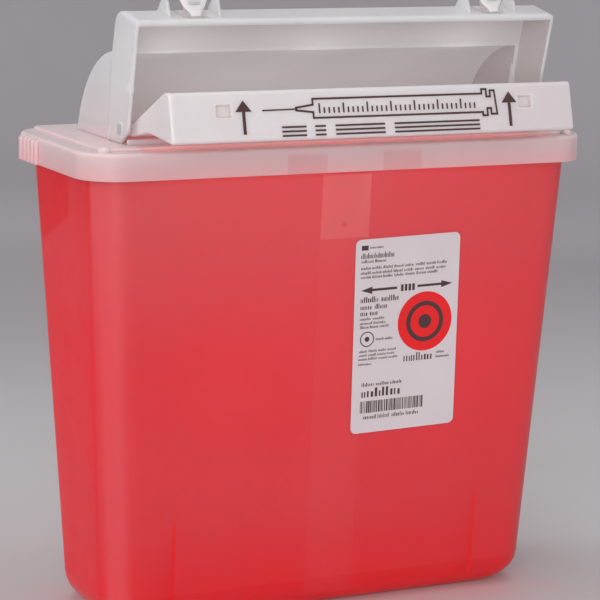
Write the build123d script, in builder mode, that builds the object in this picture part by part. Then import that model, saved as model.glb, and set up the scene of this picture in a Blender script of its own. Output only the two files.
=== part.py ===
from build123d import *
import os
from math import atan, cos, radians, sin

# A sharps container: a tapered tub, a press-fit lid, a hooded drop chute, a see-saw tray
# that is lifted to drop its load, and two tabs that lock the tray shut.
# Millimetres. +X is the object's right, +Y its back, +Z up.
# The origin is the middle of the tub's base.

# ---- driving dimensions -------------------------------------------------------------
# tub
BASE_X, BASE_Y = 116.2, 37.0          # half width and half depth at the base
TUB_TOP = 234.2                       # height of the rim
SPREAD_X, SPREAD_Y = 0.0551, 0.0582   # how far each wall leans out per millimetre of height
TUB_WALL = 2.0
TUB_FLOOR = 2.4
TUB_CORNER = 17.5                     # upright corners
TUB_FOOT = 15.0                       # rounding between wall and base
BEAD_LOW, BEAD_HIGH = 226.0, 228.6    # the rim bead that the lid clips over
BEAD_X, BEAD_Y, BEAD_CORNER = 132.5, 52.5, 18.5
GUSSET_X = 83.0                       # stiffening gussets inside the front and back walls
GUSSET_HEIGHT, GUSSET_REACH, GUSSET_THICK = 41.0, 11.0, 2.0

# lid
LID_X, LID_Y, LID_CORNER = 135.0, 55.0, 20.0
SKIRT_LOW, LID_TOP = 223.2, 236.2
LID_WALL, LID_PLATE, LID_EDGE = 1.8, 2.0, 1.6
STEP_TOP = 237.7                      # top of the raised panel
STEP_X, STEP_FRONT, STEP_BACK, STEP_CORNER, STEP_EDGE = 125.5, -46.5, 51.5, 7.0, 0.7
NUB_X, NUB_Y, NUB_R, NUB_SUNK = 124.5, -46.5, 3.1, 0.4
RIB_COUNT, RIB_PITCH, RIB_FIRST = 5, 5.3, 14.8
RIB_WIDTH, RIB_PROUD, RIB_CORNER = 3.7, 1.5, 0.9
RIB_DROP, RIB_CHAMFER = 0.6, 1.8
LUG_LOW, LUG_HIGH, LUG_PROUD = 223.8, 225.7, 1.5
LUGS_FRONT, LUG_FRONT_WIDE = (-90, -33, 22, 92), 24
LUGS_END, LUG_END_WIDE = (-18, 18), 14
SEAL_LOW, SEAL_THICK, SEAL_GAP = 229.5, 1.4, 0.3

# hood over the drop chute
HOOD_WALL = 1.6
CHEEK_X, CHEEK_TOP_X = 110.3, 111.3   # outer face of the side cheeks, at the lid and at the top
DRUM_X = 108.8                        # outer face of the drum's ends
DRUM_R, DRUM_Y, DRUM_Z = 55.0, -24.15, 225.5
TOP_FRONT, TOP_BACK = (-52.4, 296.8), (-28.0, 301.6)
FOOT_FRONT, FOOT_LOW = (-39.4, 244.2), (-30.2, 237.7)
BACK_MIDDLE, BACK_LOW = (-21.6, 281.0), (-14.3, 237.7)
FOOT_R, FRONT_R, BACK_R, WAIST_R = 5.0, 2.0, 10.0, 4.0
LIP_LOW = 293.9                       # lower edge of the lip over the mouth
RING_LOW, RING_HIGH = 231.6, 238.6    # the collar that plugs into the lid's opening
RING_FRONT, RING_BACK = -36.6, 29.6
RING_FRONT_HIGH = 240.2
TOP_CORNER = 2.2
HOOD_DEEP = 120.0                     # more than the hood's height, for the blocks that trim it
MOUTH_FRONT = -75.0                   # clear of the hood's front, for the block that opens it
BOSS_R, BOSS_PROUD, BOSS_EDGE = 4.3, 0.9, 0.6
DETENT_Y, DETENT_Z, DETENT_R, DETENT_PROUD = -41.2, 265.0, 6.5, 1.1

# tray
PIVOT_Y, PIVOT_Z = -31.3, 244.4
TRAY_X = 105.9
TRAY_WALL, TRAY_EDGE = 2.0, 1.1
PANEL_BOTTOM, PANEL_TOP = (-84.0, 242.9), (-78.0, 266.2)
TRAY_BACK = 24.7
TRAY_OUTLINE = (
    PANEL_BOTTOM,
    PANEL_TOP,
    (-72.5, 265.9),
    (-67.5, 263.7),
    (-33.5, 247.1),
    (-27.0, 246.3),
    (TRAY_BACK, 243.6),
    (TRAY_BACK, 238.9),
    (-33.0, 241.2),
    (-53.6, 245.4),
)
TRAY_RADII = (1.8, 1.8, 3, 4, 4, 8, 1.5, 1.5, 8, 8)
TROUGH_OUTLINE = (
    (PANEL_BOTTOM[0] + 2.6, PANEL_BOTTOM[1] + 2.2),
    (PANEL_TOP[0] + 2.3, PANEL_TOP[1] + 1),
    (PANEL_TOP[0] + 2.3, PANEL_TOP[1] + 6),
    (TRAY_BACK + 3, PANEL_TOP[1] + 6),
    (TRAY_BACK + 3, 240.9),
    (-32.6, 243.1),
    (-53.2, 247.3),
)
TROUGH_RADII = (2.5, 0, 0, 0, 0, 8, 8)
BACK_LIP_LOW, BACK_LIP_HIGH = 235.2, 240.0
TRUNNION_R, BORE_CLEARANCE = 3.0, 0.05
TRUNNION_END, BORE_END = 110.2, 110.5
POCKET_WIDE, POCKET_HIGH, POCKET_UP = 7.4, 5.8, 15.05
POCKET_DEEP, POCKET_WALL, POCKET_CORNER = 3.0, 1.2, 0.6

# lock tabs
TAB_X = 79.5
TAB_Y = -48.0                         # the tab's film hinge
TAB_RAISE = 0.4                       # height of the film hinge over the hood's top
TAB_LEAN = 28.0                       # how far an open tab leans back from upright
TAB_THICK, TAB_LENGTH, TAB_ROLL = 1.4, 22.0, 0.8
TAB_NECK, TAB_HEAD = 2.4, 7.8         # half widths
TAB_EDGE = ((TAB_NECK, 0), (3.1, 3.0), (6.8, 9.0), (TAB_HEAD, 13.5), (0, TAB_LENGTH))
PEG_OUT, PEG_WIDE, PEG_LONG, PEG_DEEP = 7.5, 5.4, 3.4, 7.5
PEG_SUNK, PEG_CORNER = 0.2, 0.8
HOLE_X, HOLE_FRONT, HOLE_BACK, HOLE_CORNER, HOLE_REACH = 6.4, -49.0, -34.0, 2.5, 8.0
EAR_X, EAR_THICK = 12.8, 1.2
EAR_FRONT, EAR_BACK = -47.2, -31.0
EAR_WAIST, EAR_TIP = (-36.4, 304.3), (-41.6, 309.2)
EAR_SINK = 2.0                        # its back corner follows the hood's rounded edge down

# label
LABEL_X, LABEL_Z = 36.5, 139.8
LABEL_WIDE, LABEL_HIGH, LABEL_THICK, LABEL_CORNER = 58.0, 98.8, 0.2, 3.0
LABEL_TILT = 1.3                      # a hand-applied label is never quite level

SIDES = (-1, 1)                       # left and right, or front and back

# ---- worked out from them -----------------------------------------------------------
top_slope = (TOP_BACK[1] - TOP_FRONT[1]) / (TOP_BACK[0] - TOP_FRONT[0])
cheek_splay = (CHEEK_TOP_X - CHEEK_X) / (TOP_FRONT[1] - STEP_TOP)


def hood_top(y):
    """Height of the hood's outer top surface at depth y."""
    return TOP_FRONT[1] + (y - TOP_FRONT[0]) * top_slope


def tub_half(z, inset=0.0):
    """Half width and half depth of the tub at height z, drawn in by inset."""
    return BASE_X + SPREAD_X * z - inset, BASE_Y + SPREAD_Y * z - inset


def plan_sketch(z, half_x, half_y, corner):
    """A rounded rectangle lying level at height z."""
    with BuildSketch(Plane.XY.offset(z)) as plan:
        RectangleRounded(2 * half_x, 2 * half_y, corner)
    return plan.sketch


def level_block(half_x, front, back, low, high):
    """An upright rectangular block."""
    with BuildPart() as block:
        with BuildSketch(Plane.XY.offset(low)):
            with Locations((0, (front + back) / 2)):
                Rectangle(2 * half_x, back - front)
        extrude(amount=high - low)
    return block.part


def pin(end, radius, inner, outer):
    """A round bar on the tray's axis, from inner to outer on the given end."""
    with BuildPart() as bar:
        with BuildSketch(Plane.YZ.offset(end * inner)):
            with Locations((PIVOT_Y, PIVOT_Z)):
                Circle(radius)
        extrude(amount=end * (outer - inner))
    return bar.part


# ---- tub ----------------------------------------------------------------------------
def tapered_block(low, high, inset, corner, foot):
    """The tapered, round-cornered block that bounds the tub outside or inside."""
    with BuildPart() as block:
        loft([plan_sketch(z, *tub_half(z, inset), corner) for z in (low, high)], ruled=True)
        fillet(block.faces().sort_by(Axis.Z)[0].edges(), foot)
    return block.part


def gusset_pair(side_x):
    """Two thin triangles at side_x, inside the front and the back wall."""
    tip_z = TUB_FOOT + GUSSET_HEIGHT
    sunk = TUB_WALL / 2
    with BuildPart() as pair:
        with BuildSketch(Plane.YZ.offset(side_x - GUSSET_THICK / 2)):
            for end in SIDES:
                with BuildLine():
                    Polyline(
                        (end * (BASE_Y - TUB_WALL - GUSSET_REACH), TUB_FLOOR - sunk),
                        (end * (BASE_Y - sunk), TUB_FLOOR - sunk),
                        (end * (BASE_Y + SPREAD_Y * tip_z - sunk), tip_z),
                        close=True,
                    )
                make_face()
        extrude(amount=GUSSET_THICK)
        inside = tapered_block(TUB_FLOOR - sunk, TUB_TOP, sunk, TUB_CORNER - sunk, TUB_FOOT - sunk)
        add(inside, mode=Mode.INTERSECT)
    return pair.part


with BuildPart() as container_tub:
    add(tapered_block(0, TUB_TOP, 0, TUB_CORNER, TUB_FOOT))
    with BuildSketch(Plane.XY.offset(BEAD_LOW)):
        RectangleRounded(2 * BEAD_X, 2 * BEAD_Y, BEAD_CORNER)
    extrude(amount=BEAD_HIGH - BEAD_LOW)
    hollow = tapered_block(TUB_FLOOR, TUB_TOP + 1, TUB_WALL, TUB_CORNER - TUB_WALL, TUB_FOOT - TUB_WALL)
    add(hollow, mode=Mode.SUBTRACT)
    add(gusset_pair(-GUSSET_X))
    add(gusset_pair(GUSSET_X))
container_tub.part.label = "container_tub"

# ---- lid ----------------------------------------------------------------------------
rib_top = LID_TOP - SKIRT_LOW - RIB_DROP
with BuildPart() as grip_rib:
    with BuildSketch(Plane.XZ.offset(-RIB_WIDTH / 2)):
        with BuildLine():
            Polyline(
                (-RIB_PROUD, 0),
                (RIB_PROUD, 0),
                (RIB_PROUD, rib_top - RIB_CHAMFER),
                (RIB_PROUD - RIB_CHAMFER, rib_top),
                (-RIB_PROUD, rib_top),
                close=True,
            )
        make_face()
    extrude(amount=RIB_WIDTH)
    fillet(grip_rib.edges().filter_by(Axis.Z).group_by(Axis.X)[-1], RIB_CORNER)

with BuildPart() as lid:
    with BuildSketch(Plane.XY.offset(SKIRT_LOW)):
        RectangleRounded(2 * LID_X, 2 * LID_Y, LID_CORNER)
    extrude(amount=LID_TOP - SKIRT_LOW)
    fillet(lid.faces().sort_by(Axis.Z)[-1].edges(), LID_EDGE)
    # raised panel around the chute, sunk into the plate so that the two join
    with BuildSketch(Plane.XY.offset(LID_TOP - LID_PLATE / 2)):
        with Locations((0, (STEP_FRONT + STEP_BACK) / 2)):
            RectangleRounded(2 * STEP_X, STEP_BACK - STEP_FRONT, STEP_CORNER)
    extrude(amount=STEP_TOP - LID_TOP + LID_PLATE / 2)
    fillet(lid.faces().sort_by(Axis.Z)[-1].edges(), STEP_EDGE)
    # grip ribs on both ends
    for end in SIDES:
        rib_ys = [RIB_FIRST + index * RIB_PITCH for index in range(RIB_COUNT)]
        with Locations(*[(end * LID_X, y, SKIRT_LOW) for y in rib_ys]):
            add(grip_rib.part.mirror(Plane.YZ) if end < 0 else grip_rib.part)
    # hollow under the plate
    with BuildSketch(Plane.XY.offset(SKIRT_LOW)):
        RectangleRounded(2 * (LID_X - LID_WALL), 2 * (LID_Y - LID_WALL), LID_CORNER - LID_WALL)
    extrude(amount=LID_TOP - LID_PLATE - SKIRT_LOW, mode=Mode.SUBTRACT)
    # sealing rib that plugs into the tub's mouth
    seal_x, seal_y = tub_half(SEAL_LOW, TUB_WALL + SEAL_GAP)
    seal_corner = TUB_CORNER - TUB_WALL - SEAL_GAP
    with BuildSketch(Plane.XY.offset(SEAL_LOW)):
        RectangleRounded(2 * seal_x, 2 * seal_y, seal_corner)
        RectangleRounded(
            2 * (seal_x - SEAL_THICK),
            2 * (seal_y - SEAL_THICK),
            seal_corner - SEAL_THICK,
            mode=Mode.SUBTRACT,
        )
    extrude(amount=LID_TOP - LID_PLATE / 2 - SEAL_LOW)
    # opening that the chute's collar plugs into
    add(level_block(DRUM_X, RING_FRONT, RING_BACK, SEAL_LOW - 1, STEP_TOP + 1), mode=Mode.SUBTRACT)
    # catch lugs under the bead, four along the front and back and two on each end
    with BuildSketch(Plane.XY.offset(LUG_LOW)):
        for end in SIDES:
            with Locations(*[(x, end * (LID_Y - LID_WALL)) for x in LUGS_FRONT]):
                Rectangle(LUG_FRONT_WIDE, 2 * LUG_PROUD)
            with Locations(*[(end * (LID_X - LID_WALL), y) for y in LUGS_END]):
                Rectangle(2 * LUG_PROUD, LUG_END_WIDE)
    extrude(amount=LUG_HIGH - LUG_LOW)
    # round nubs at the front corners of the raised panel
    with Locations((-NUB_X, NUB_Y, LID_TOP - NUB_SUNK), (NUB_X, NUB_Y, LID_TOP - NUB_SUNK)):
        Sphere(NUB_R, arc_size1=0, align=(Align.CENTER, Align.CENTER, Align.MIN))
lid.part.label = "lid"

# ---- hood ---------------------------------------------------------------------------
def arch(half_x, drop, corner):
    """A long block under the hood's top line, drop below it, narrower towards the lid."""
    along = Vector(0, cos(atan(top_slope)), sin(atan(top_slope)))
    section = Plane(origin=(0, *TOP_FRONT), x_dir=(-1, 0, 0), z_dir=along)
    low_x = half_x - cheek_splay * HOOD_DEEP
    with BuildPart() as block:
        with BuildSketch(section):
            with BuildLine():
                Polyline(
                    (-half_x, -drop),
                    (half_x, -drop),
                    (low_x, -drop - HOOD_DEEP),
                    (-low_x, -drop - HOOD_DEEP),
                    close=True,
                )
            make_face()
        extrude(amount=HOOD_DEEP, both=True)
        lengthwise = block.edges().filter_by(lambda e: abs(e.tangent_at(0).dot(along)) > 0.99)
        fillet(lengthwise.sort_by(Axis.Z)[-2:], corner)
    return block.part


def hood_side(half_x, inset=0.0):
    """The hood's side view, drawn in by inset, half_x to each side."""
    with BuildPart() as block:
        with BuildSketch(Plane.YZ.offset(-half_x)):
            with BuildLine():
                FilletPolyline(
                    FOOT_LOW,
                    FOOT_FRONT,
                    TOP_FRONT,
                    TOP_BACK,
                    BACK_MIDDLE,
                    BACK_LOW,
                    radius=[0, FOOT_R, FRONT_R, BACK_R, WAIST_R, 0],
                    close=True,
                )
            make_face()
            if inset:
                offset(amount=-inset, mode=Mode.REPLACE)
        extrude(amount=2 * half_x)
    return block.part


def drum_block(half_x, radius):
    """The drum's quarter round above the lid, half_x to each side."""
    with BuildPart() as block:
        with BuildSketch(Plane.YZ.offset(-half_x)):
            with BuildLine():
                CenterArc((DRUM_Y, DRUM_Z), radius, 0, 90)
                Polyline((DRUM_Y, DRUM_Z + radius), (DRUM_Y, DRUM_Z), (DRUM_Y + radius, DRUM_Z))
            make_face()
            with Locations((DRUM_Y + radius / 2, (STEP_TOP + DRUM_Z) / 2)):
                Rectangle(radius, STEP_TOP - DRUM_Z, mode=Mode.SUBTRACT)
        extrude(amount=2 * half_x)
    return block.part


def detent(end):
    """A shallow dome on the outside of one cheek."""
    with BuildPart() as dome:
        with Locations((end * (CHEEK_X + DETENT_PROUD - DETENT_R), DETENT_Y, DETENT_Z)):
            Sphere(DETENT_R, rotation=(0, 0, 90))
        front, back = DETENT_Y - DETENT_R, DETENT_Y + DETENT_R
        add(level_block(CHEEK_X - HOOD_WALL / 2, front, back, STEP_TOP, LIP_LOW), mode=Mode.SUBTRACT)
    return dome.part


cavity_x, cavity_top_x = DRUM_X - HOOD_WALL, CHEEK_TOP_X - HOOD_WALL
with BuildPart() as hood_cavity:
    add(hood_side(cavity_top_x, HOOD_WALL))
    # the mouth
    with BuildSketch(Plane.YZ.offset(-cavity_top_x)):
        with BuildLine():
            Polyline(
                (MOUTH_FRONT, STEP_TOP),
                (MOUTH_FRONT, LIP_LOW),
                (TOP_BACK[0] - BACK_R, LIP_LOW),
                (BACK_LOW[0] - 2 * HOOD_WALL, STEP_TOP),
                close=True,
            )
        make_face()
    extrude(amount=2 * cavity_top_x)
    add(arch(cavity_top_x, HOOD_WALL, TOP_CORNER - HOOD_WALL), mode=Mode.INTERSECT)
    add(drum_block(cavity_x, DRUM_R - HOOD_WALL))
    # the way down through the lid
    add(level_block(cavity_x, RING_FRONT + HOOD_WALL, RING_BACK - HOOD_WALL, RING_LOW - 1, RING_HIGH))

with BuildPart() as chute_hood:
    # cheeks, top and back as one block, then the drum behind it
    add(hood_side(CHEEK_TOP_X + 1))
    add(arch(CHEEK_TOP_X, 0, TOP_CORNER), mode=Mode.INTERSECT)
    add(drum_block(DRUM_X, DRUM_R))
    # collar that plugs into the lid, higher along the front where the tray covers it
    add(level_block(DRUM_X, RING_FRONT, RING_BACK, RING_LOW, RING_HIGH))
    add(hood_cavity.part, mode=Mode.SUBTRACT)
    add(level_block(DRUM_X, RING_FRONT, RING_FRONT + HOOD_WALL, RING_LOW, RING_FRONT_HIGH))
    for end in SIDES:
        # trunnion boss and its blind bore
        add(pin(end, BOSS_R, CHEEK_X - HOOD_WALL / 2, CHEEK_X + BOSS_PROUD))
        rims = chute_hood.edges().filter_by(GeomType.CIRCLE)
        fillet(rims.filter_by(lambda e: abs(e.center().X - end * (CHEEK_X + BOSS_PROUD)) < 0.01), BOSS_EDGE)
        add(pin(end, TRUNNION_R + BORE_CLEARANCE, cavity_x - 1, BORE_END), mode=Mode.SUBTRACT)
        # detent bulge near the cheek's front rim
        add(detent(end))
        # hole under the tab
        with BuildSketch(Plane.XY.offset(TOP_FRONT[1] - HOLE_REACH)):
            with Locations((end * TAB_X, (HOLE_FRONT + HOLE_BACK) / 2)):
                RectangleRounded(2 * HOLE_X, HOLE_BACK - HOLE_FRONT, HOLE_CORNER)
        extrude(amount=2 * HOLE_REACH, mode=Mode.SUBTRACT)
        # a fin at each side of it
        for fin_x in (end * TAB_X - EAR_X, end * TAB_X + EAR_X):
            with BuildSketch(Plane.YZ.offset(fin_x - EAR_THICK / 2)):
                with BuildLine():
                    Polyline(
                        (EAR_FRONT, hood_top(EAR_FRONT) - HOOD_WALL / 2),
                        (EAR_BACK, hood_top(EAR_BACK) - HOOD_WALL / 2 - EAR_SINK),
                        EAR_WAIST,
                        EAR_TIP,
                        close=True,
                    )
                make_face()
            extrude(amount=EAR_THICK)
chute_hood.part.label = "chute_hood"

# ---- tray ---------------------------------------------------------------------------
panel_up = Vector(0, PANEL_TOP[0] - PANEL_BOTTOM[0], PANEL_TOP[1] - PANEL_BOTTOM[1]).normalized()
panel_face = Plane(origin=(0, *PANEL_BOTTOM), x_dir=(1, 0, 0), z_dir=Vector(1, 0, 0).cross(panel_up))

with BuildPart() as drop_tray:
    with BuildSketch(Plane.YZ.offset(-TRAY_X)):
        with BuildLine():
            FilletPolyline(*TRAY_OUTLINE, radius=TRAY_RADII, close=True)
        make_face()
    extrude(amount=2 * TRAY_X)
    ends = drop_tray.faces().sort_by(Axis.X)
    fillet(ends[0].edges() + ends[-1].edges(), TRAY_EDGE)
    # trough
    with BuildSketch(Plane.YZ.offset(-TRAY_X + TRAY_WALL)):
        with BuildLine():
            FilletPolyline(*TROUGH_OUTLINE, radius=TROUGH_RADII, close=True)
        make_face()
    extrude(amount=2 * (TRAY_X - TRAY_WALL), mode=Mode.SUBTRACT)
    # stiffening lip under the back edge
    with BuildSketch(Plane.YZ.offset(-TRAY_X + TRAY_WALL)):
        with Locations((TRAY_BACK - TRAY_WALL, (BACK_LIP_LOW + BACK_LIP_HIGH) / 2)):
            Rectangle(TRAY_WALL, BACK_LIP_HIGH - BACK_LIP_LOW)
    extrude(amount=2 * (TRAY_X - TRAY_WALL))
    # blind pockets behind the panel for the lock pegs
    with BuildSketch(panel_face):
        with Locations((-TAB_X, POCKET_UP), (TAB_X, POCKET_UP)):
            RectangleRounded(POCKET_WIDE + 2 * POCKET_WALL, POCKET_HIGH + 2 * POCKET_WALL, POCKET_WALL)
    extrude(amount=-POCKET_DEEP - POCKET_WALL)
    with BuildSketch(panel_face):
        with Locations((-TAB_X, POCKET_UP), (TAB_X, POCKET_UP)):
            RectangleRounded(POCKET_WIDE, POCKET_HIGH, POCKET_CORNER)
    extrude(amount=-POCKET_DEEP, mode=Mode.SUBTRACT)
    # trunnions
    for end in SIDES:
        add(pin(end, TRUNNION_R, TRAY_X - TRAY_WALL / 2, TRUNNION_END))
drop_tray.part.label = "drop_tray"

# ---- lock tabs ----------------------------------------------------------------------
tab_z = hood_top(TAB_Y) + TAB_RAISE


def lock_tab(center_x):
    """An open tab: a neck and round head leaning back from its film hinge, with a peg behind."""
    lean = radians(TAB_LEAN)
    up = Vector(0, sin(lean), cos(lean))
    face = Plane(origin=(center_x, TAB_Y, tab_z), x_dir=(1, 0, 0), z_dir=Vector(1, 0, 0).cross(up))
    with BuildPart() as tab:
        with BuildSketch(face.offset(-TAB_THICK / 2)):
            with BuildLine():
                right = Spline(*TAB_EDGE, tangents=((0, 1), (-1, 0)))
                mirror(right, about=Plane.YZ)
                Line((-TAB_NECK, 0), (TAB_NECK, 0))
            make_face()
        extrude(amount=TAB_THICK)
        with BuildSketch(Plane.YZ.offset(center_x - TAB_NECK)):
            with Locations((TAB_Y, tab_z)):
                Circle(TAB_ROLL)
        extrude(amount=2 * TAB_NECK)
        with BuildSketch(face.offset(-TAB_THICK / 2 + PEG_SUNK)):
            with Locations((0, PEG_OUT)):
                RectangleRounded(PEG_WIDE, PEG_LONG, PEG_CORNER)
        extrude(amount=-PEG_DEEP - PEG_SUNK)
    return tab.part


left_lock_tab = lock_tab(-TAB_X)
left_lock_tab.label = "left_lock_tab"
right_lock_tab = lock_tab(TAB_X)
right_lock_tab.label = "right_lock_tab"

# ---- label --------------------------------------------------------------------------
wall_out = Vector(0, -1, -SPREAD_Y).normalized()
wall_up = wall_out.cross(Vector(1, 0, 0))
tilt = radians(LABEL_TILT)
label_plane = Plane(
    origin=(LABEL_X, -BASE_Y - SPREAD_Y * LABEL_Z, LABEL_Z),
    x_dir=Vector(1, 0, 0) * cos(tilt) + wall_up * sin(tilt),
    z_dir=wall_out,
)
with BuildPart() as front_label:
    with BuildSketch(label_plane):
        RectangleRounded(LABEL_WIDE, LABEL_HIGH, LABEL_CORNER)
    extrude(amount=LABEL_THICK)
front_label.part.label = "front_label"

# ---- files --------------------------------------------------------------------------
os.makedirs("parts", exist_ok=True)
export_step(container_tub.part, "parts/container_tub.step")
export_step(lid.part, "parts/lid.step")
export_step(chute_hood.part, "parts/chute_hood.step")
export_step(drop_tray.part, "parts/drop_tray.step")
export_step(left_lock_tab, "parts/left_lock_tab.step")
export_step(right_lock_tab, "parts/right_lock_tab.step")
export_step(front_label.part, "parts/front_label.step")
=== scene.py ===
import math
import random

import bmesh
import bpy
from mathutils import Matrix, Vector


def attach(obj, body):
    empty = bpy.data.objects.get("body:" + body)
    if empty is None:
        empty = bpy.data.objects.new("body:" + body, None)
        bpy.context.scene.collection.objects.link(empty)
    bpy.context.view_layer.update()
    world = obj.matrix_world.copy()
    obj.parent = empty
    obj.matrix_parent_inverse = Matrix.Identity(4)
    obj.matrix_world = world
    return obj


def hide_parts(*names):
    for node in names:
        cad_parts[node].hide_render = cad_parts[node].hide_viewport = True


# Looks for the sharps container. Metres, or mm where it says so, +X right, +Y back, +Z up.

MM = 0.001
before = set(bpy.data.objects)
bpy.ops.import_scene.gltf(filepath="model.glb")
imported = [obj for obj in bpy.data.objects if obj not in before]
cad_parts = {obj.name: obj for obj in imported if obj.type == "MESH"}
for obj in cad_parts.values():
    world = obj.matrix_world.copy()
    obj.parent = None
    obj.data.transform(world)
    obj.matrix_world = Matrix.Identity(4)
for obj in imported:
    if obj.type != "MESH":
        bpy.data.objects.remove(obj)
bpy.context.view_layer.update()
scene = bpy.context.scene

# ---- camera -------------------------------------------------------------------------
CAMERA_AZIMUTH, CAMERA_PITCH, CAMERA_ROLL = -25.96, 10.68, 1.14     # degrees
CAMERA_DISTANCE = 1.25529
CAMERA_TARGET = Vector((0.00003, 0.0, 0.15072))
CAMERA_LENS, CAMERA_SENSOR = 149.1, 36.0

turn, pitch, roll = (math.radians(a) for a in (CAMERA_AZIMUTH, CAMERA_PITCH, CAMERA_ROLL))
look = Vector((-math.sin(turn) * math.cos(pitch), math.cos(turn) * math.cos(pitch), -math.sin(pitch)))
level_right = look.cross(Vector((0, 0, 1))).normalized()
level_up = level_right.cross(look)
right = level_right * math.cos(roll) + level_up * math.sin(roll)
up = level_up * math.cos(roll) - level_right * math.sin(roll)
camera_data = bpy.data.cameras.new("camera")
camera = bpy.data.objects.new("camera", camera_data)
scene.collection.objects.link(camera)
camera_data.lens = CAMERA_LENS
camera_data.sensor_width = CAMERA_SENSOR
camera_data.clip_start, camera_data.clip_end = 0.05, 20
pose = Matrix((right, up, -look)).transposed().to_4x4()
pose.translation = CAMERA_TARGET - look * CAMERA_DISTANCE
camera.matrix_world = pose
scene.camera = camera
scene.view_settings.view_transform = "Standard"


# ---- dimensions, mm -----------------------------------------------------------------
BASE_X, BASE_Y = 116.2, 37.0            # the tub's half sizes at z 0, before its foot is rounded
SPREAD_X, SPREAD_Y = 0.0551, 0.0582     # how much they grow with height
TUB_TOP, TUB_WALL, TUB_FLOOR = 234.2, 2.0, 2.4
TUB_CORNER, TUB_FOOT = 17.5, 15.0
BEAD_LOW, BEAD_HIGH, BEAD_OUT = 226.0, 228.6, 3.2
BAND_HALF, BAND_LOW, BAND_STEP, BAND_HIGH = 13.0, 29.0, 190.0, 221.5
BAND_THIN, BAND_THICK = 0.2, 0.4        # how far the band stands out, below and above its step
GATE_X, GATE_Z = -0.4, 196.6            # gate mark on the band
GUSSET_XS = (-84.6, 82.0)
CATCH_XS = (-24.0, 27.0)                # catches that show through the lid's skirt
PIVOT_Y, PIVOT_Z = -31.3, 244.4
CHEEK_BACK, CHEEK_BACK_Z = -21.6, 281.0  # a point on the cheek's back edge
CHEEK_LEAN = 0.169                      # how far that edge leans forward, per mm up
POCKET_X, POCKET_Z = 79.5, 257.5        # centres of the tray's pockets
# the tray's front in the middle
PANEL_BOTTOM, PANEL_TOP = Vector((0, -84.0, 242.9)), Vector((0, -78.0, 266.2))
LABEL_MIDDLE = Vector((36.5, -BASE_Y - SPREAD_Y * 139.8, 139.8))
LABEL_WIDE, LABEL_HIGH, LABEL_THICK = 58.0, 98.8, 0.2
LABEL_TILT = 1.3                        # degrees
TAB_X, TAB_Y, TAB_Z = 79.5, -48.0, 298.07       # the right tab's fold
# back and up from the tab's fold, and half the width there
TAB_LINE = ((0.0, 0.0, 2.65), (0.9, 1.0, 2.7), (2.2, 2.6, 4.0), (3.5, 4.6, 5.7), (4.1, 7.0, 6.8),
            (5.2, 9.4, 7.6), (6.2, 13.0, 7.7), (7.4, 16.4, 6.4), (8.4, 18.3, 4.2), (9.0, 19.3, 1.6))


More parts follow.
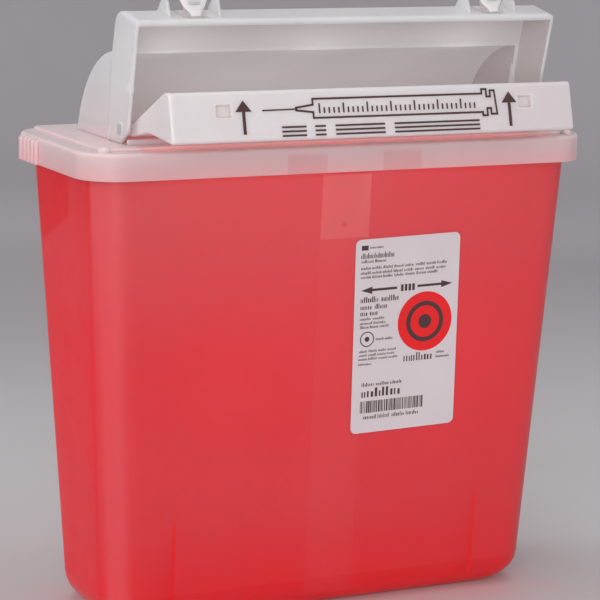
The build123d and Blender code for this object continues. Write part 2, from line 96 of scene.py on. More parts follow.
# ---- node helpers -------------------------------------------------------------------
class Nodes:
    """A material's node tree, with short calls for the nodes used here."""

    def __init__(self, name):
        self.material = bpy.data.materials.new(name)
        self.material.use_nodes = True
        self.tree = self.material.node_tree
        self.shader = self.tree.nodes["Principled BSDF"]
        self.coords = self.tree.nodes.new("ShaderNodeTexCoord").outputs["Object"]

    def set(self, **sockets):
        """Plain values on the shader's own sockets."""
        for name, value in sockets.items():
            self.shader.inputs[name.replace("_", " ")].default_value = value

    def link(self, source, target):
        self.tree.links.new(source, target)

    def into(self, node, index, value):
        """A link or a plain value into one input."""
        if isinstance(value, bpy.types.NodeSocket):
            self.link(value, node.inputs[index])
        else:
            node.inputs[index].default_value = value

    def math(self, operation, a, b=0.0):
        node = self.tree.nodes.new("ShaderNodeMath")
        node.operation = operation
        self.into(node, 0, a)
        self.into(node, 1, b)
        return node.outputs[0]

    def split(self, vector):
        """The X, Y and Z outputs of a vector."""
        node = self.tree.nodes.new("ShaderNodeSeparateXYZ")
        self.link(vector, node.inputs[0])
        return node.outputs

    def axis(self, name, scale=1.0):
        """One object coordinate, in metres times scale."""
        value = self.split(self.coords)[name]
        return value if scale == 1 else self.math("MULTIPLY", value, scale)

    def turned(self, name):
        """How far the surface turns to one axis, -1 to 1."""
        return self.split(self.tree.nodes.new("ShaderNodeTexCoord").outputs["Normal"])[name]

    def both(self, *masks):
        """Masks, or numbers, multiplied together."""
        value = masks[0]
        for mask in masks[1:]:
            value = self.math("MULTIPLY", value, mask)
        return value

    def reach(self, u, v, centre_u, centre_v):
        """Distance from a centre in a plane."""
        off_u, off_v = self.math("SUBTRACT", u, centre_u), self.math("SUBTRACT", v, centre_v)
        return self.math("SQRT", self.math("ADD", self.both(off_u, off_u), self.both(off_v, off_v)))

    def step(self, value, start, end):
        """Smoothly from 0 at start to 1 at end."""
        node = self.tree.nodes.new("ShaderNodeMapRange")
        node.interpolation_type = "SMOOTHSTEP"
        self.into(node, 0, value)
        node.inputs[1].default_value, node.inputs[2].default_value = start, end
        return node.outputs[0]

    def between(self, value, low, high, soft):
        """1 between low and high, fading over soft outside."""
        return self.both(self.step(value, low - soft, low), self.step(value, high + soft, high))

    def remap(self, value, low, high, to_low, to_high):
        """Straight from to_low at low to to_high at high, and held beyond both."""
        node = self.tree.nodes.new("ShaderNodeMapRange")
        self.into(node, 0, value)
        for index, number in enumerate((low, high, to_low, to_high)):
            node.inputs[index + 1].default_value = number
        return node.outputs[0]

    def noise(self, size, detail=3.0, rough=0.5):
        """Noise whose features are about size metres across."""
        node = self.tree.nodes.new("ShaderNodeTexNoise")
        node.inputs["Scale"].default_value = 1 / size
        node.inputs["Detail"].default_value = detail
        node.inputs["Roughness"].default_value = rough
        self.link(self.coords, node.inputs["Vector"])
        return node.outputs["Fac"]

    def mix(self, factor, a, b):
        """Colour a turning to b by factor."""
        node = self.tree.nodes.new("ShaderNodeMix")
        node.data_type = "RGBA"
        self.into(node, 0, factor)
        self.into(node, 6, a)
        self.into(node, 7, b)
        return node.outputs[2]

    def bump(self, height, distance, soften=0.0):
        """Relief from height, on edges softened by a radius in metres."""
        node = self.tree.nodes.new("ShaderNodeBump")
        node.inputs["Strength"].default_value = 1.0
        node.inputs["Distance"].default_value = distance
        self.link(height, node.inputs["Height"])
        if soften:
            bevel = self.tree.nodes.new("ShaderNodeBevel")
            bevel.samples = 4
            bevel.inputs["Radius"].default_value = soften
            self.link(bevel.outputs[0], node.inputs["Normal"])
        self.link(node.outputs[0], self.shader.inputs["Normal"])

    def facing(self, blend):
        """0 where the surface faces the eye, 1 where it turns away."""
        node = self.tree.nodes.new("ShaderNodeLayerWeight")
        node.inputs["Blend"].default_value = blend
        return node.outputs["Facing"]

    def paint(self, colour, *masks):
        """Lays a display colour over the tint so far, as strongly as the masks' product."""
        self.tint = self.mix(self.both(*masks), self.tint, rgb(*colour))

    def alpha(self, value):
        self.link(value, self.shader.inputs["Alpha"])

    def colour(self, value):
        self.link(value, self.shader.inputs["Base Color"])

    def roughness(self, value):
        self.link(value, self.shader.inputs["Roughness"])


PLASTIC_IOR = 1.49
NOISE_RANGE = (0.3, 0.7)                # where nearly all of the noise's values lie


def rgb(red, green, blue):
    """A display colour, 0 to 255, as the linear colour that nodes take."""
    def linear(v):
        v /= 255
        return v / 12.92 if v <= 0.04045 else ((v + 0.055) / 1.055) ** 2.4
    return (linear(red), linear(green), linear(blue), 1.0)


def moulded(name, light, dark, rough=(0.3, 0.42), scatter=0.0, scatter_scale=0.004, soften=0.0):
    """Moulded plastic: cloudy tint, fine grain, slightly uneven gloss."""
    n = Nodes(name)
    clouds = n.noise(0.03, 4)
    n.set(Subsurface_Weight=scatter, Subsurface_Radius=(1, 0.9, 0.85), Subsurface_Scale=scatter_scale,
          IOR=PLASTIC_IOR)
    n.tint = n.mix(n.remap(clouds, *NOISE_RANGE, 0, 1), light, dark)
    n.colour(n.tint)
    n.roughness(n.remap(n.noise(0.012, 4), *NOISE_RANGE, *rough))
    n.bump(n.noise(0.00035, 2), 0.00001, soften)
    return n


# ---- materials ----------------------------------------------------------------------
# Positions in the masks are in mm. Sizes of noise, bumps and scattering are in metres.
def tub_material():
    """Clear red plastic, with painted reflection: paler near the rim, deeper at the foot."""
    n = Nodes("tub_red")
    x, y, z = (n.axis(a, 1000) for a in "XYZ")
    sideways = n.turned("X")
    clouds = n.remap(n.noise(0.05, 3, 0.45), 0.35, 0.65, 0, 1)
    n.tint = n.mix(clouds, rgb(226, 59, 68), rgb(223, 53, 62))
    # painted reflection: paler towards the rim, deeper red towards the foot
    n.paint((222, 82, 88), n.step(z, 120, 222))
    n.paint((234, 34, 44), n.step(z, 60, 14))
    # painted shade: darker to the right, and deepest low on the right
    n.paint((216, 50, 58), n.step(x, -30, 130), 0.5)
    n.paint((228, 14, 22), n.step(z, 22, 6), n.step(x, -80, 40), 0.6)
    front = n.step(y, -34, -37)
    # the raised band up the middle, a little paler all along, with a painted reflection where it is
    # thickest, above its step
    band = n.both(n.between(x, -BAND_HALF, BAND_HALF, 0.3), front)
    n.paint((232, 118, 118), band, n.between(z, BAND_STEP, BAND_HIGH, 0.4), 0.55)
    n.paint((236, 110, 112), band, 0.10)
    # gussets inside the front wall, bright where they touch it, with a deeper patch to their left
    for gusset_x in GUSSET_XS:
        line = n.both(n.between(x, gusset_x - 0.7, gusset_x + 0.7, 0.4), n.step(z, 57, 50))
        beside = n.both(n.step(x, gusset_x - 15, gusset_x - 1), n.step(x, gusset_x + 0.2, gusset_x))
        fade = n.step(n.remap(z, 14, 56, 0, 1), 1.0, 0.1)
        n.paint((224, 14, 26), beside, fade, front, 0.4)
        n.paint((250, 10, 16), line, front, 0.75)
    # gate mark
    n.paint((186, 40, 46), n.step(n.reach(x, z, GATE_X, GATE_Z), 2.1, 0.6), front, 0.35)
    # painted highlight on the left corner, a little paler
    n.paint((234, 92, 100), n.step(sideways, -0.25, -0.6), n.step(sideways, -0.95, -0.8), 0.5)
    # the left end wall: painted shade makes it deeper, a painted reflection makes it a little paler above
    # 157 mm, painted shade from the skirt deepens it under the rim, and a dark painted reflection lies in
    # a slanting patch high up at the back
    end = n.step(sideways, -0.94, -0.99)
    n.paint((242, 32, 46), end, 0.8)
    n.paint((230, 58, 68), end, n.step(z, 156.5, 158.0), 0.5)
    n.paint((220, 30, 42), end, n.step(z, 190, 214), 0.4)
    slant = n.both(n.math("MAXIMUM", n.math("SUBTRACT", 30, y), 0), 0.45)
    painted_reflection_patch = n.both(n.step(n.math("SUBTRACT", z, slant), 183, 186), n.step(y, -10, -7))
    n.paint((230, 8, 22), end, painted_reflection_patch, 0.8)
    # a painted highlight, a pale streak near its front edge
    painted_highlight_streak = n.both(n.between(y, -41, -39, 1.5), n.step(z, 194, 208))
    n.paint((255, 120, 126), end, painted_highlight_streak, 0.5)
    n.link(n.remap(end, 0, 1, 0.5, 0.25), n.shader.inputs["Specular IOR Level"])
    # the right corner, dark against the light
    n.paint((188, 22, 30), n.step(sideways, 0.35, 0.8), 0.7)
    # the back wall inside, pale where daylight reaches it under the lid
    inner = n.both(n.step(y, 10, 20), n.step(n.turned("Y"), -0.6, -0.9), n.step(z, 150, 190))
    n.paint((255, 168, 168), inner, 0.8)
    n.colour(n.tint)
    n.roughness(n.remap(n.noise(0.01, 4), *NOISE_RANGE, 0.30, 0.38))
    n.set(Subsurface_Weight=0.8, Subsurface_Radius=(1.0, 0.12, 0.1), Subsurface_Scale=0.01,
          IOR=PLASTIC_IOR)
    n.bump(n.noise(0.0004, 2), 0.000012)
    return n.material


def natural_material(name, low, high, pink, opaque, depth):
    """Clear, uncoloured plastic: thin where seen square on, with a painted highlight whiter along its
    edges.

    It's painted pink with red light from the tub up to height low and loses the pink by high. opaque is
    its alpha where seen square on, and depth is how far light scatters in it, in metres.
    """
    n = moulded(name, rgb(240, 236, 235), rgb(234, 229, 229), scatter=1.0, scatter_scale=depth,
                soften=0.0005)
    x, y, z = (n.axis(a, 1000) for a in "XYZ")
    sideways, backward = n.turned("X"), n.turned("Y")
    # painted red light from the tub: pink low down, fading by high
    n.paint(pink, n.step(z, high, low), 0.85)
    # red light from the tub comes up through the flat in front of the chute
    lit = n.both(n.between(x, -104, 112, 5), n.step(y, -36, -44))
    lit = n.both(lit, n.both(n.step(z, 234.5, 236), n.step(z, 246, 240)))
    n.paint((255, 184, 184), lit, 0.8)
    # catches behind the skirt show through it
    for catch_x in CATCH_XS:
        catch = n.both(n.between(x, catch_x - 10, catch_x + 10, 1), n.step(y, -52, -54))
        n.paint((226, 140, 146), catch, n.step(z, 234, 231), 0.32)
    # the inside of the right cheek looks away from the light
    n.paint((172, 161, 163), n.step(x, 98, 103), n.step(sideways, -0.3, -0.9), 0.7)
    # the wall high up inside the hood is shaded
    high_inside = n.both(n.step(z, 279, 281.5), n.step(backward, -0.4, -0.8), n.step(y, -48, -44))
    n.paint((190, 181, 183), high_inside, 0.5)
    # painted highlights: the cheek's back edge and the pivot bosses made whiter
    outside = n.both(n.step(n.math("ABSOLUTE", sideways), 0.7, 0.95), n.between(z, 238.5, 268, 3))
    leaning = n.both(n.math("SUBTRACT", z, CHEEK_BACK_Z), CHEEK_LEAN)
    from_edge = n.math("ADD", n.math("SUBTRACT", y, CHEEK_BACK), leaning)
    n.paint((255, 253, 251), outside, n.between(from_edge, -1.3, 0.4, 0.6), 0.7)
    boss = n.step(n.reach(y, z, PIVOT_Y, PIVOT_Z), 6, 4.4)
    n.paint((255, 238, 236), outside, boss, 0.7)
    # painted highlight: whiter where the surface turns away from the eye, and less clear there
    edge = n.step(n.facing(0.35), 0.45, 0.95)
    n.paint((248, 245, 244), edge, 0.5)
    n.colour(n.tint)
    n.alpha(n.math("MAXIMUM", n.remap(edge, 0, 1, opaque, 0.96), n.math("MAXIMUM", boss, lit)))
    return n.material


def white_material():
    """Solid white plastic, darker to the right with painted shade, the pockets for the pegs painted
    lighter and warmer to lift the shade in them.
    """
    n = moulded("tray_white", rgb(226, 219, 219), rgb(221, 213, 214), rough=(0.38, 0.5), scatter=0.9,
                scatter_scale=0.006, soften=0.0006)
    x, y, z = (n.axis(a, 1000) for a in "XYZ")
    # painted shade, darker to the right
    n.paint((213, 203, 205), n.step(x, -10, 105), 0.8)
    # the pockets for the pegs: painted light, lighter and warmer, lifting the shade in them
    across = n.between(n.math("ABSOLUTE", x), POCKET_X - 4.2, POCKET_X + 4.2, 0.4)
    upward = n.between(z, POCKET_Z - 3.2, POCKET_Z + 3.2, 0.4)
    n.paint((238, 223, 223), n.both(across, upward, n.step(y, -70, -74)), 0.65)
    n.colour(n.tint)
    return n.material


tub_red = tub_material()
lid_natural = natural_material("lid_natural", 218, 256, (248, 168, 170), 0.92, 0.005)
hood_natural = natural_material("hood_natural", 238, 276, (240, 219, 222), 0.84, 0.008)
tab_natural = moulded("tab_natural", rgb(232, 229, 228), rgb(226, 221, 221), scatter=0.4,
                      soften=0.0003).material
white = white_material()
ink = moulded("ink_brown", rgb(78, 46, 44), rgb(66, 38, 36), rough=(0.4, 0.5)).material
paper = moulded("label_paper", rgb(219, 208, 211), rgb(215, 203, 206), rough=(0.35, 0.45)).material
label_black = moulded("label_black", rgb(78, 50, 50), rgb(66, 42, 43), rough=(0.4, 0.5)).material
label_red = moulded("label_red", rgb(238, 18, 24), rgb(232, 12, 18), rough=(0.35, 0.45)).material


# ---- mesh helpers -------------------------------------------------------------------
def skin(bm, rings, closed=True):
    """Faces between neighbouring rings, or between open rows, of equal length."""
    count = len(rings[0])
    for low, high in zip(rings, rings[1:]):
        for i in range(count if closed else count - 1):
            j = (i + 1) % count
            bm.faces.new((low[i], low[j], high[j], high[i]))


def to_mesh(name, bm):
    mesh = bpy.data.meshes.new(name)
    bm.to_mesh(mesh)
    bm.free()
    return mesh


def add_object(name, mesh, material, smooth_angle=None):
    """An object in the scene, shaded smooth but for edges sharper than an angle in degrees."""
    if smooth_angle:
        for polygon in mesh.polygons:
            polygon.use_smooth = True
        mesh.set_sharp_from_angle(angle=math.radians(smooth_angle))
    obj = bpy.data.objects.new(name, mesh)
    obj.data.materials.append(material)
    scene.collection.objects.link(obj)
    return obj


def rounded_ring(half_x, half_y, corner, z, fronts):
    """Points round a rounded rectangle at height z, from the front left corner, anticlockwise
    from above, with a point at each x of fronts on the long sides."""
    corner_steps = 10
    end_ys = (-0.5, 0.0, 0.5)
    points = []
    for quarter, (cx, cy) in enumerate(((-1, -1), (1, -1), (1, 1), (-1, 1))):
        start = math.pi + quarter * math.pi / 2
        for i in range(corner_steps + 1):
            a = start + math.pi / 2 * i / corner_steps
            points.append(Vector((cx * (half_x - corner) + corner * math.cos(a),
                                  cy * (half_y - corner) + corner * math.sin(a), z)))
        if quarter == 0:
            points += [Vector((x, -half_y, z)) for x in fronts]
        elif quarter == 1:
            points += [Vector((half_x, t * (half_y - corner), z)) for t in end_ys]
        elif quarter == 2:
            points += [Vector((x, half_y, z)) for x in reversed(fronts)]
        else:
            points += [Vector((-half_x, t * (half_y - corner), z)) for t in reversed(end_ys)]
    return points


# ---- tub ----------------------------------------------------------------------------
RAMP = 0.3                              # half the height over which the band's relief changes
# the edge of the recess under the base: its share of the base's half sizes, and its height
BASE_RINGS = ((0.93, 0.78, 0.9), (0.95, 0.84, 0.0))
# height, inset and the band's relief, from above the foot to the rim
TUB_PROFILE = (
    (TUB_FOOT + 0.6, 0, 0), (TUB_FOOT + 1.3, -0.12, 0), (TUB_FOOT + 2.2, 0, 0),
    (BAND_LOW - RAMP, 0, 0), (BAND_LOW + RAMP, 0, BAND_THIN),
    (70, 0, BAND_THIN), (110, 0, BAND_THIN), (150, 0, BAND_THIN),
    (BAND_STEP - RAMP, 0, BAND_THIN), (BAND_STEP + RAMP, 0, BAND_THICK),
    (BAND_HIGH - RAMP, 0, BAND_THICK), (BAND_HIGH + RAMP, 0, 0),
    (BEAD_LOW, 0, 0), (BEAD_LOW + 0.5, -BEAD_OUT, 0), (BEAD_HIGH - 0.8, -BEAD_OUT, 0), (BEAD_HIGH, 0, 0),
    (TUB_TOP - 0.5, 0, 0), (TUB_TOP, 0.4, 0), (TUB_TOP, TUB_WALL - 0.4, 0))


def make_tub():
    """The CAD tub as one finer skin, outside and inside, without the gussets."""
    side = BAND_HALF
    fronts = [-90, -60, -35, -side - 0.25, -side + 0.25, -6, 0, 6, side - 0.25, side + 0.25, 35, 60, 90]

    def ring(z, inset=0.0, corner=TUB_CORNER, raise_band=0.0):
        hx, hy = BASE_X + SPREAD_X * z - inset, BASE_Y + SPREAD_Y * z - inset
        points = rounded_ring(hx, hy, corner, z, fronts)
        if raise_band:
            for p in points:
                if abs(abs(p.y) - hy) < 1e-6 and abs(p.x) < BAND_HALF:
                    p.y += math.copysign(raise_band, p.y)
        return points

    def foot(low, radius, inset, corner):
        """The rounding from the base up into the wall."""
        steps = 9
        angles = [math.pi / 2 * i / steps for i in range(steps)]
        return [ring(low + radius * (1 - math.cos(a)), inset + radius * (1 - math.sin(a)), corner)
                for a in angles]

    base = ring(0, TUB_FOOT)
    rings = [[Vector((p.x * share_x, p.y * share_y, z)) for p in base]
             for share_x, share_y, z in BASE_RINGS]
    rings += foot(0, TUB_FOOT, 0, TUB_CORNER)
    rings += [ring(z, inset, raise_band=relief) for z, inset, relief in TUB_PROFILE]
    rings.append(ring(TUB_TOP - 0.5, TUB_WALL, TUB_CORNER - TUB_WALL))
    rings += reversed(foot(TUB_FLOOR, TUB_FOOT - TUB_WALL, TUB_WALL, TUB_CORNER - TUB_WALL))
    bm = bmesh.new()
    made = [[bm.verts.new(p * MM) for p in points] for points in rings]
    skin(bm, made)
    bm.faces.new(reversed(made[0]))
    bm.faces.new(made[-1])
    tub = add_object("tub_shell", to_mesh("tub_shell", bm), tub_red, 35)
    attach(tub, "container")
    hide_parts("container_tub")


make_tub()

# ---- mouldings carried over from the CAD --------------------------------------------
for node, material in (("lid", lid_natural), ("chute_hood", hood_natural), ("drop_tray", white),
                       ("front_label", paper)):
    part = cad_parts[node]
    part.data.materials.clear()
    part.data.materials.append(material)


# ---- lock tabs ----------------------------------------------------------------------
TAB_SIDES = 20
TAB_FLAT = 0.6                          # how far the flap's back lies behind its middle line
PEG_LEAN = 28                           # the peg is square to the flap's mean lean, degrees
PEG_UP, PEG_SUNK = 7.5, 0.6             # where it starts: up from the fold, and into the flap
PEG_HALF_X, PEG_HALF_Z = 2.7, 1.7
PEG_OUTLINE = ((-1, -0.7), (-0.8, -1), (0.8, -1), (1, -0.7), (1, 0.7), (0.8, 1), (-0.8, 1), (-1, 0.7))
PEG_LINE = ((0, 1.0), (7.6, 1.0), (8.3, 0.8))       # reach, and share of the half sizes there


def make_tab(name, node, body, side):
    """A flap with a narrow neck, a domed front and a peg behind."""
    bm = bmesh.new()
    rings = []
    for index, (back, rise, half) in enumerate(TAB_LINE):
        before, after = TAB_LINE[max(index - 1, 0)], TAB_LINE[min(index + 1, len(TAB_LINE) - 1)]
        along = Vector((0, after[0] - before[0], after[1] - before[1])).normalized()
        outward = Vector((0, -along.z, along.y))
        dome = 0.7 + 0.9 * math.sin(math.pi * min(rise / 20, 1))
        ring = []
        for i in range(TAB_SIDES):
            a = 2 * math.pi * i / TAB_SIDES
            across = math.copysign(abs(math.cos(a)) ** 0.7, math.cos(a)) * half
            depth = math.sin(a) * (dome if math.sin(a) > 0 else TAB_FLAT)
            place = Vector((side * TAB_X + across, TAB_Y + back, TAB_Z + rise)) + outward * depth
            ring.append(bm.verts.new(place * MM))
        rings.append(ring)
    skin(bm, rings)
    bm.faces.new(reversed(rings[0]))
    bm.faces.new(rings[-1])
    lean = math.radians(PEG_LEAN)
    along = Vector((0, math.sin(lean), math.cos(lean)))
    inward = Vector((0, math.cos(lean), -math.sin(lean)))
    foot = Vector((side * TAB_X, TAB_Y, TAB_Z)) + along * PEG_UP - inward * PEG_SUNK
    rows = []
    for reach, share in PEG_LINE:
        row = []
        for cx, cz in PEG_OUTLINE:
            offset_x, offset_z = Vector((cx * PEG_HALF_X * share, 0, 0)), along * (cz * PEG_HALF_Z * share)
            row.append(bm.verts.new((foot + inward * reach + offset_x + offset_z) * MM))
        rows.append(row)
    skin(bm, rows)
    bm.faces.new(rows[0])
    bm.faces.new(list(reversed(rows[-1])))
    bmesh.ops.recalc_face_normals(bm, faces=bm.faces)
    tab = add_object(name, to_mesh(name, bm), tab_natural, 50)
    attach(tab, body)
    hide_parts(node)


make_tab("left_tab_flap", "left_lock_tab", "left_tab", -1)
make_tab("right_tab_flap", "right_lock_tab", "right_tab", 1)


# ---- printing -----------------------------------------------------------------------
class Print:
    """Flat ink shapes in millimetres on a plane: x across, y up."""

    LOW, HIGH = 0.005, 0.05             # back and front of the ink, out from the plane

    def __init__(self, origin, across, upward):
        self.origin, self.across, self.upward = origin, across, upward
        self.out = across.cross(upward)
        self.bm = bmesh.new()

    def spot(self, x, y, lift):
        return self.bm.verts.new((self.origin + self.across * x + self.upward * y + self.out * lift) * MM)

    def shape(self, points):
        """One filled outline, anticlockwise, as a thin plate."""
        low = [self.spot(x, y, self.LOW) for x, y in points]
        high = [self.spot(x, y, self.HIGH) for x, y in points]
        self.bm.faces.new(high)
        self.bm.faces.new(reversed(low))
        skin(self.bm, (low, high))

    def bar(self, x0, y0, x1, y1):
        self.shape([(x0, y0), (x1, y0), (x1, y1), (x0, y1)])

    def line(self, start, end, width):
        a, b = Vector(start), Vector(end)
        side = (b - a).normalized().orthogonal() * width / 2
        self.shape([tuple(p) for p in (a - side, b - side, b + side, a + side)])

    def path(self, points, width):
        """Square-ended strokes through points."""
        for start, end in zip(points, points[1:]):
            a, b = Vector(start), Vector(end)
            reach = (b - a).normalized() * width / 2
            self.line(a - reach, b + reach, width)

    def ring(self, x, y, outer, inner):
        """A ring, or a disc when inner is 0."""
        steps = 56
        turns = [2 * math.pi * i / steps for i in range(steps)]
        if not inner:
            self.shape([(x + outer * math.cos(a), y + outer * math.sin(a)) for a in turns])
            return
        for a, b in zip(turns, turns[1:] + [2 * math.pi]):
            self.shape([(x + r * math.cos(t), y + r * math.sin(t))
                        for r, t in ((inner, a), (outer, a), (outer, b), (inner, b))])

    def strokes(self, x0, x1, middle, height, weight, words):
        """A line of meaningless upright strokes, grouped like words."""
        gap = height * 0.45
        word = (x1 - x0 - gap * (words - 1)) / words
        low = middle - height / 2
        x = x0
        for _ in range(words):
            end = x + word
            at = x
            while at < end - weight:
                wide = weight * rng.uniform(0.8, 1.5)
                tall = height * rng.choice((0.62, 0.7, 0.7, 1.0))
                self.bar(at, low, min(at + wide, end), low + tall)
                at += wide + weight * rng.uniform(0.7, 1.3)
            x = end + gap

    def make(self, name, material, body):
        obj = add_object(name, to_mesh(name, self.bm), material)
        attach(obj, body)


rng = random.Random(7)

# The tray's printing: across from the middle, and up from the bottom of its front.
LIFT_ARROWS = ((-69.7, 19.8, 4.0), (70.6, 20.1, 3.4))           # x, tip, foot
ARROW_HALF, ARROW_HEAD, SHAFT_HALF = 4.1, 5.3, 0.8
NEEDLE, NEEDLE_WIDTH = ((-60.3, 14.8), (-43.0, 15.0)), 0.7
SYRINGE_WIDTH = 0.95
SYRINGE = ((-43.0, 14.4), (-34.3, 13.3), (-34.3, 10.6), (55.8, 10.6), (55.8, 9.0), (58.3, 9.0),
           (58.3, 12.4), (60.4, 12.4), (60.4, 9.6), (63.6, 9.6), (62.7, 20.9), (60.4, 20.9), (60.4, 18.0),
           (58.3, 18.0), (58.3, 21.6), (55.8, 21.6), (55.8, 19.5), (-34.3, 19.5), (-34.3, 16.8),
           (-43.0, 15.6), (-43.0, 14.4))
MARK_COUNT, MARK_FIRST, MARK_STEP, MARK_HALF = 34, -31.0, 2.5, 0.42
MARK_LOW, MARK_SHORT, MARK_LONG = 12.7, 15.4, 17.4
STRIPE_XS = ((-51.0, -38.5), (-34.0, -28.5), (-23.5, 2.5), (7.5, 53.5))
STRIPE_YS, STRIPE_BELOW, STRIPE_ABOVE = (2.4, 4.4, 6.4), 0.1, 0.8


def print_tray():
    """A lift arrow at each end, a syringe outline with graduations, and a striped line under it."""
    p = Print(PANEL_BOTTOM, Vector((1, 0, 0)), (PANEL_TOP - PANEL_BOTTOM).normalized())
    for x, tip, base in LIFT_ARROWS:
        p.shape([(x - ARROW_HALF, tip - ARROW_HEAD), (x + ARROW_HALF, tip - ARROW_HEAD), (x, tip)])
        p.bar(x - SHAFT_HALF, base, x + SHAFT_HALF, tip - ARROW_HEAD + 0.1)
    p.line(*NEEDLE, NEEDLE_WIDTH)
    p.path(SYRINGE, SYRINGE_WIDTH)
    for index in range(MARK_COUNT):
        x = MARK_FIRST + index * MARK_STEP
        p.bar(x - MARK_HALF, MARK_LOW, x + MARK_HALF, MARK_SHORT if index % 5 else MARK_LONG)
    for x0, x1 in STRIPE_XS:
        for y in STRIPE_YS:
            p.bar(x0, y - STRIPE_BELOW, x1, y + STRIPE_ABOVE)
    p.make("tray_print", ink, "tray")


# The label's printing: across and up from its top left corner, so down is negative.
# Lines of strokes: left, right, how far down, height, stroke weight, words.
LABEL_LINES = (
    (7.8, 15.3, 4.2, 1.3, 0.3, 1), (3.1, 21.5, 8.3, 2.8, 0.34, 1), (3.3, 17.2, 11.1, 1.6, 0.3, 2),
    (3.2, 50.9, 14.5, 1.5, 0.3, 8), (3.1, 50.5, 16.9, 1.5, 0.3, 8), (3.2, 45.6, 19.0, 1.5, 0.3, 7),
    (3.4, 25.2, 30.5, 2.9, 0.5, 2), (3.5, 18.1, 34.2, 2.5, 0.5, 2), (3.5, 12.9, 37.3, 2.6, 0.5, 2),
    (3.3, 16.9, 40.2, 1.4, 0.3, 2), (3.4, 17.8, 42.4, 1.4, 0.3, 2), (3.5, 19.3, 44.4, 1.4, 0.3, 3),
    (12.5, 21.8, 50.9, 1.5, 0.25, 2), (3.4, 23.9, 56.7, 1.3, 0.26, 4), (3.5, 23.4, 58.7, 1.3, 0.26, 4),
    (3.1, 25.0, 60.7, 1.3, 0.26, 4), (3.2, 10.5, 63.3, 1.2, 0.26, 1), (28.4, 45.6, 62.0, 4.2, 0.75, 1),
    (46.6, 51.4, 60.7, 1.4, 0.26, 1), (46.6, 54.2, 63.0, 1.4, 0.26, 1), (5.4, 28.4, 73.9, 1.9, 0.4, 3),
    (5.4, 28.3, 78.2, 4.6, 0.95, 1), (6.9, 37.8, 90.8, 2.1, 0.42, 4))
LABEL_SQUARE = (3.2, -5.5, 6.9, -3.1)
ARROW_LEFT, SHAFT_LEFT = ((3.4, -25.7), (9.7, -27.7), (9.7, -24.0)), (9.6, -26.35, 23.4, -25.1)
ARROW_RIGHT, SHAFT_RIGHT = ((54.4, -25.8), (48.2, -24.0), (48.2, -27.6)), (34.8, -26.4, 48.3, -25.2)
BLOCK_XS, BLOCK_WIDE, BLOCK_LOW, BLOCK_HIGH = (25.6, 27.7, 29.8, 31.9), 1.4, -27.7, -24.3
SMALL_RING, SMALL_OUTER, SMALL_INNER, SMALL_DOT = (7.6, -50.6), 3.9, 3.35, 1.3
DISC, DISC_RADIUS, DISC_OUTER, DISC_INNER, DISC_DOT = (39.65, -44.2), 15.2, 10.4, 8.1, 3.6
CODE_LEFT, CODE_RIGHT, CODE_LOW, CODE_HIGH = 4.9, 39.4, -88.6, -82.5


def print_label():
    """Plain marks laid out like a printed label, with no words or symbols."""
    out = Vector((0, -1, -SPREAD_Y)).normalized()
    upward = out.cross(Vector((1, 0, 0)))
    tilt = math.radians(LABEL_TILT)
    across = Vector((1, 0, 0)) * math.cos(tilt) + upward * math.sin(tilt)
    upward = out.cross(across)
    corner = LABEL_MIDDLE + out * LABEL_THICK - across * LABEL_WIDE / 2 + upward * LABEL_HIGH / 2
    p = Print(corner, across, upward)
    p.bar(*LABEL_SQUARE)
    for x0, x1, down, height, weight, words in LABEL_LINES:
        p.strokes(x0, x1, -down, height, weight, words)
    # double-headed arrow with a block in the middle
    for head, shaft in ((ARROW_LEFT, SHAFT_LEFT), (ARROW_RIGHT, SHAFT_RIGHT)):
        p.shape(head)
        p.bar(*shaft)
    for x in BLOCK_XS:
        p.bar(x, BLOCK_LOW, x + BLOCK_WIDE, BLOCK_HIGH)
    p.ring(*SMALL_RING, SMALL_OUTER, SMALL_INNER)
    p.ring(*SMALL_RING, SMALL_DOT, 0)
    # bars of uneven width
    x = CODE_LEFT
    while x < CODE_RIGHT:
        wide = rng.choice((0.28, 0.28, 0.55, 0.85))
        p.bar(x, CODE_LOW, x + wide, CODE_HIGH)
        x += wide + rng.choice((0.28, 0.3, 0.55))
    p.make("label_print", label_black, "container")
    disc = Print(corner, across, upward)
    disc.ring(*DISC, DISC_RADIUS, 0)
    disc.make("label_disc", label_red, "container")
    mark = Print(corner + out * Print.HIGH, across, upward)
    mark.ring(*DISC, DISC_OUTER, DISC_INNER)
    mark.ring(*DISC, DISC_DOT, 0)
    mark.make("label_mark", label_black, "container")


print_tray()
print_label()


# ---- stage --------------------------------------------------------------------------
# In metres. The floor curves up into a wall at the back.
FOOT_HALF_X, FOOT_HALF_Y, FOOT_FADE = 0.112, 0.036, 0.03    # the tub's foot, and the tint round it
SWEEP_FRONT, SWEEP_BEND_Y, SWEEP_BEND, SWEEP_TOP = -9.0, 1.0, 0.35, 3.2
SWEEP_XS = (-3.5, -1.2, 1.2, 3.5)


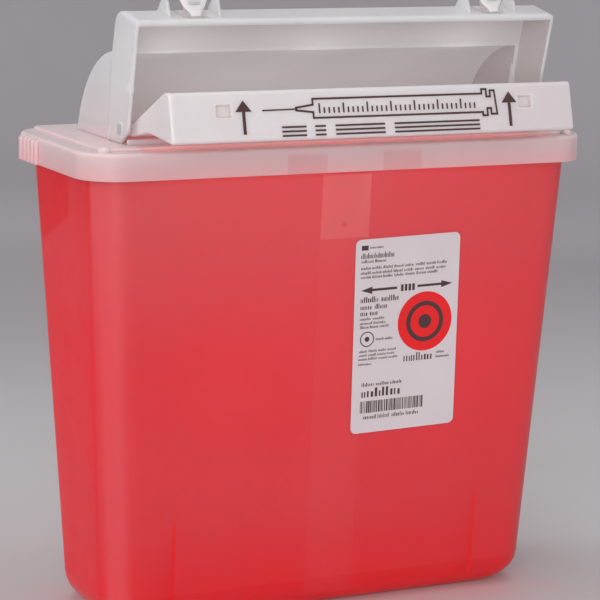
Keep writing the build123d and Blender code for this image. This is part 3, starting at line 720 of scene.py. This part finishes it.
def sweep_material():
    """Grey paper, with painted light and shade on the floor and on the wall."""
    n = Nodes("studio_sweep")
    across, height = n.axis("X"), n.axis("Z")
    grain = n.noise(0.25, 3)
    world_place = n.split(n.tree.nodes.new("ShaderNodeNewGeometry").outputs["Position"])
    world_x, world_y = world_place[0], world_place[1]
    n.tint = n.mix(n.remap(grain, *NOISE_RANGE, 0, 1), rgb(214, 210, 211), rgb(210, 206, 207))
    # red light thrown down around the foot
    beyond_x, beyond_y = (n.math("SUBTRACT", n.math("ABSOLUTE", place), half)
                          for place, half in ((world_x, FOOT_HALF_X), (world_y, FOOT_HALF_Y)))
    n.paint((232, 194, 196), n.step(n.math("MAXIMUM", beyond_x, beyond_y), FOOT_FADE, 0.0), 0.45)
    # painted shade: darker to the left and towards the wall
    n.paint((180, 173, 177), n.step(world_x, -0.05, -0.35))
    n.paint((184, 179, 182), n.step(world_y, 0.2, 0.8))
    floor = n.tint
    # the wall, with painted shade darker higher up and painted light low on the right
    n.tint = n.mix(n.step(height, 0.05, 0.3), rgb(163, 158, 161), rgb(158, 153, 155))
    n.paint((140, 135, 138), n.step(height, 0.5, 1.3))
    n.paint((174, 169, 174), n.step(across, 0.0, 0.6), n.step(height, 0.35, 0.2))
    n.colour(n.mix(n.step(height, 0.002, 0.05), floor, n.tint))
    n.roughness(n.remap(n.noise(0.05, 3), *NOISE_RANGE, 0.55, 0.7))
    n.bump(n.noise(0.001, 2), 0.00002)
    return n.material


def make_stage():
    steps = 12
    profile = [(SWEEP_FRONT, 0.0), (SWEEP_BEND_Y, 0.0)]
    for i in range(1, steps + 1):
        a = math.pi / 2 * i / steps
        profile.append((SWEEP_BEND_Y + SWEEP_BEND * math.sin(a), SWEEP_BEND * (1 - math.cos(a))))
    profile.append((SWEEP_BEND_Y + SWEEP_BEND, SWEEP_TOP))
    bm = bmesh.new()
    skin(bm, [[bm.verts.new((x, y, z)) for x in SWEEP_XS] for y, z in profile], closed=False)
    sweep = add_object("studio_sweep", to_mesh("studio_sweep", bm), sweep_material(), 60)
    sweep.rotation_euler.z = turn


make_stage()


# ---- lights -------------------------------------------------------------------------
# In metres and watts.
def add_light(name, kind, place, power, colour, **settings):
    data = bpy.data.lights.new(name, kind)
    data.energy, data.color = power, colour
    for setting, value in settings.items():
        setattr(data, setting, value)
    light = bpy.data.objects.new(name, data)
    light.location = place
    scene.collection.objects.link(light)
    return light


def area_light(name, place, target, size, power):
    light = add_light(name, "AREA", place, power, (1, 1, 1), shape="RECTANGLE",
                      size=size[0], size_y=size[1])
    light.rotation_mode = "QUATERNION"
    light.rotation_quaternion = (Vector(target) - Vector(place)).to_track_quat("-Z", "Y")


def hide_light(light):
    light.visible_camera = light.visible_glossy = False


area_light("key", (-1.3, -1.9, 0.6), (0, 0, 0.17), (1.6, 1.2), 25.5)
area_light("fill", (1.4, -1.7, 0.5), (0, 0, 0.17), (1.2, 1.0), 4)
area_light("side", (-1.6, 0.5, 0.7), (-0.1, 0, 0.15), (1.0, 0.9), 6)
area_light("overhead", (0, 0.1, 1.8), (0, 0, 0.1), (1.6, 1.2), 7.4)

# Light that has come in through the clear walls, let out again from inside.
for x in (-0.06, 0.06):
    hide_light(add_light("tub_glow", "POINT", (x, 0, 0.13), 0.032, (1, 0.42, 0.4), shadow_soft_size=0.03))
for x in (-0.085, -0.005, 0.075):
    hide_light(add_light("hood_glow", "POINT", (x, -0.035, 0.27), 0.0042, (1, 0.95, 0.95),
                         shadow_soft_size=0.012))
# Two strips shining up through the lid, and one shining down on it under the tray.
UP, DOWN = math.pi, 0.0
for name, y, z, depth, power, tint, facing in (
        ("lid_glow", -0.042, 0.222, 0.012, 0.016, (1, 0.5, 0.5), UP),
        ("chute_glow", -0.005, 0.222, 0.04, 0.022, (1, 0.72, 0.74), UP),
        ("tray_glow", -0.047, 0.2412, 0.008, 0.0014, (1, 0.86, 0.86), DOWN)):
    strip = add_light(name, "AREA", (0, y, z), power, tint, shape="RECTANGLE", size=0.2, size_y=depth)
    strip.rotation_euler.x = facing
    hide_light(strip)
world = bpy.data.worlds.new("studio")
scene.world = world
world.use_nodes = True
background = world.node_tree.nodes["Background"]
background.inputs["Color"].default_value = (0.9, 0.92, 0.95, 1)
background.inputs["Strength"].default_value = 0.5
